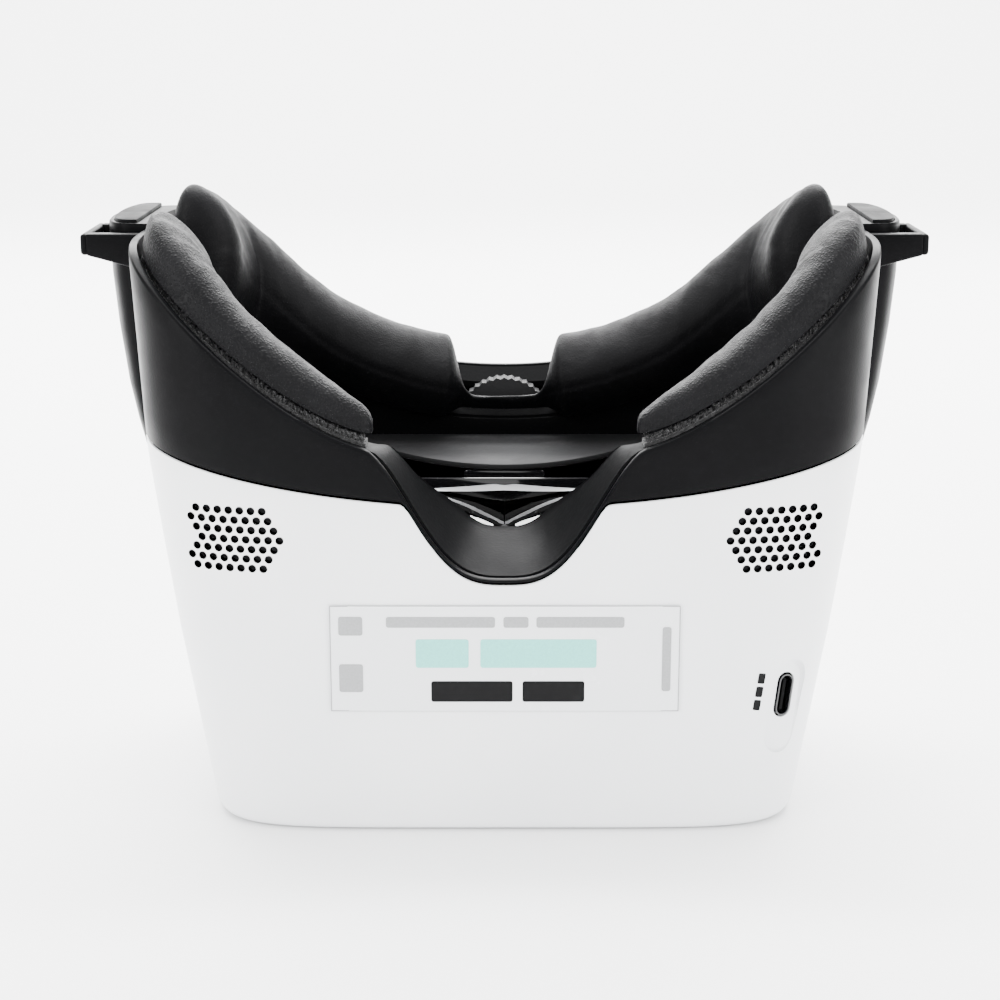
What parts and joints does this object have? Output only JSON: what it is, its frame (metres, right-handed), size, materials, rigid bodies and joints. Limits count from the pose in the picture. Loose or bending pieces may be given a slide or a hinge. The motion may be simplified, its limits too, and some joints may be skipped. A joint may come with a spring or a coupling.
{
  "type": "fpv goggles",
  "caption": "Box-shaped video goggles with a deep face opening, padded rim, nose cut-out, twin lenses on a wheel-driven focus carriage, side strap loops and a thumb joystick.",
  "frame": {"origin": "middle of the width and depth at the front cover's flat face", "axes": "+X to the side where the USB port is, +Y from the nose side to the forehead side, +Z from the front cover towards the wearer's face"},
  "size_m": [0.1824, 0.1012, 0.1256],
  "materials": {
    "white_plastic": "satin light grey-white ABS",
    "black_plastic": "satin black, finely textured",
    "gloss_black": "polished black",
    "grey_plastic": "satin dark grey",
    "pad_leather": "black synthetic leather, pebble grain",
    "hook_fabric": "black hook tape",
    "lens_glass": "clear, polished",
    "screen_glass": "dark display",
    "steel": "plain",
    "brass": "turned",
    "aluminium": "plain",
    "circuit_board": "green solder mask",
    "ribbon": "polyimide film",
    "label_film": "printed film"
  },
  "bodies": {
    "housing": {"front_shell": "white_plastic", "front_panel": "gloss_black", "rear_shell": "black_plastic", "faceplate": "black_plastic", "temple_cap_left": "black_plastic", "temple_cap_right": "black_plastic", "hook_strip_cheek_left": "hook_fabric", "hook_strip_cheek_right": "hook_fabric", "hook_strip_forehead_left": "hook_fabric", "hook_strip_forehead_right": "hook_fabric", "pad_backing_cheek_left": "black_plastic", "pad_backing_cheek_right": "black_plastic", "pad_backing_forehead": "black_plastic", "cheek_pad_left": "pad_leather", "cheek_pad_right": "pad_leather", "forehead_pad": "pad_leather", "guide_rod_left": "steel", "guide_rod_right": "steel", "display_bracket": "grey_plastic", "display_panel": "screen_glass", "display_hood": "black_plastic", "display_ribbon": "ribbon", "main_board": "circuit_board", "shield_can": "steel", "heat_sink": "aluminium", "board_screw_1": "steel", "board_screw_2": "steel", "board_screw_3": "steel", "board_screw_4": "steel", "fan_frame": "black_plastic", "vent_mesh_left": "grey_plastic", "vent_mesh_right": "grey_plastic", "usb_port": "gloss_black", "usb_contact_tongue": "steel", "usb_board": "circuit_board", "label_sticker": "label_film", "button_board": "circuit_board", "antenna_jack_left": "brass", "antenna_jack_right": "brass", "power_jack": "black_plastic"},
    "lens_carriage": {"lens_carriage": "black_plastic", "lens_left": "lens_glass", "lens_right": "lens_glass"},
    "focus_wheel": {"focus_wheel": "black_plastic", "focus_shaft": "steel", "focus_pinion": "brass"},
    "fan_rotor": {"fan_rotor": "grey_plastic"},
    "joystick_base": {"joystick_base": "steel"},
    "joystick_gimbal": {"joystick_gimbal": "black_plastic"},
    "joystick_cap": {"joystick_cap": "black_plastic"},
    "record_button": {"record_button": "black_plastic"},
    "link_button": {"link_button": "black_plastic"}
  },
  "joints": [
    {"name": "lens_slide", "type": "slide", "parent": "housing", "child": "lens_carriage", "axis": [0, 0, 1], "range_m": [-0.00235, 0.00235]},
    {"name": "focus_turn", "type": "hinge", "parent": "housing", "child": "focus_wheel", "pos_m": [0, 0.03805, 0.0685], "axis": [0, 1, 0], "range_deg": [-50, 50]},
    {"name": "fan_spin", "type": "hinge", "parent": "housing", "child": "fan_rotor", "pos_m": [-0.05, -0.03905, 0.0534], "axis": [0, 1, 0], "continuous": true},
    {"name": "joystick_press", "type": "slide", "parent": "housing", "child": "joystick_base", "axis": [0, -1, 0], "range_m": [0, 0.0005], "stiffness_N_per_m": 600},
    {"name": "joystick_tilt_x", "type": "hinge", "parent": "joystick_base", "child": "joystick_gimbal", "pos_m": [0.042, 0.03953, 0.038], "axis": [1, 0, 0], "range_deg": [-6, 6], "stiffness_Nm_per_rad": 0.02},
    {"name": "joystick_tilt_z", "type": "hinge", "parent": "joystick_gimbal", "child": "joystick_cap", "pos_m": [0.042, 0.03953, 0.038], "axis": [0, 0, 1], "range_deg": [-6, 6], "stiffness_Nm_per_rad": 0.02},
    {"name": "record_press", "type": "slide", "parent": "housing", "child": "record_button", "axis": [0, -1, 0], "range_m": [0, 0.0008], "stiffness_N_per_m": 400},
    {"name": "link_press", "type": "slide", "parent": "housing", "child": "link_button", "axis": [0, -1, 0], "range_m": [0, 0.0008], "stiffness_N_per_m": 400}
  ],
  "couplings": [
    {"joint": "focus_turn", "follows": "lens_slide", "rad_per_m": -333.33}
  ]
}
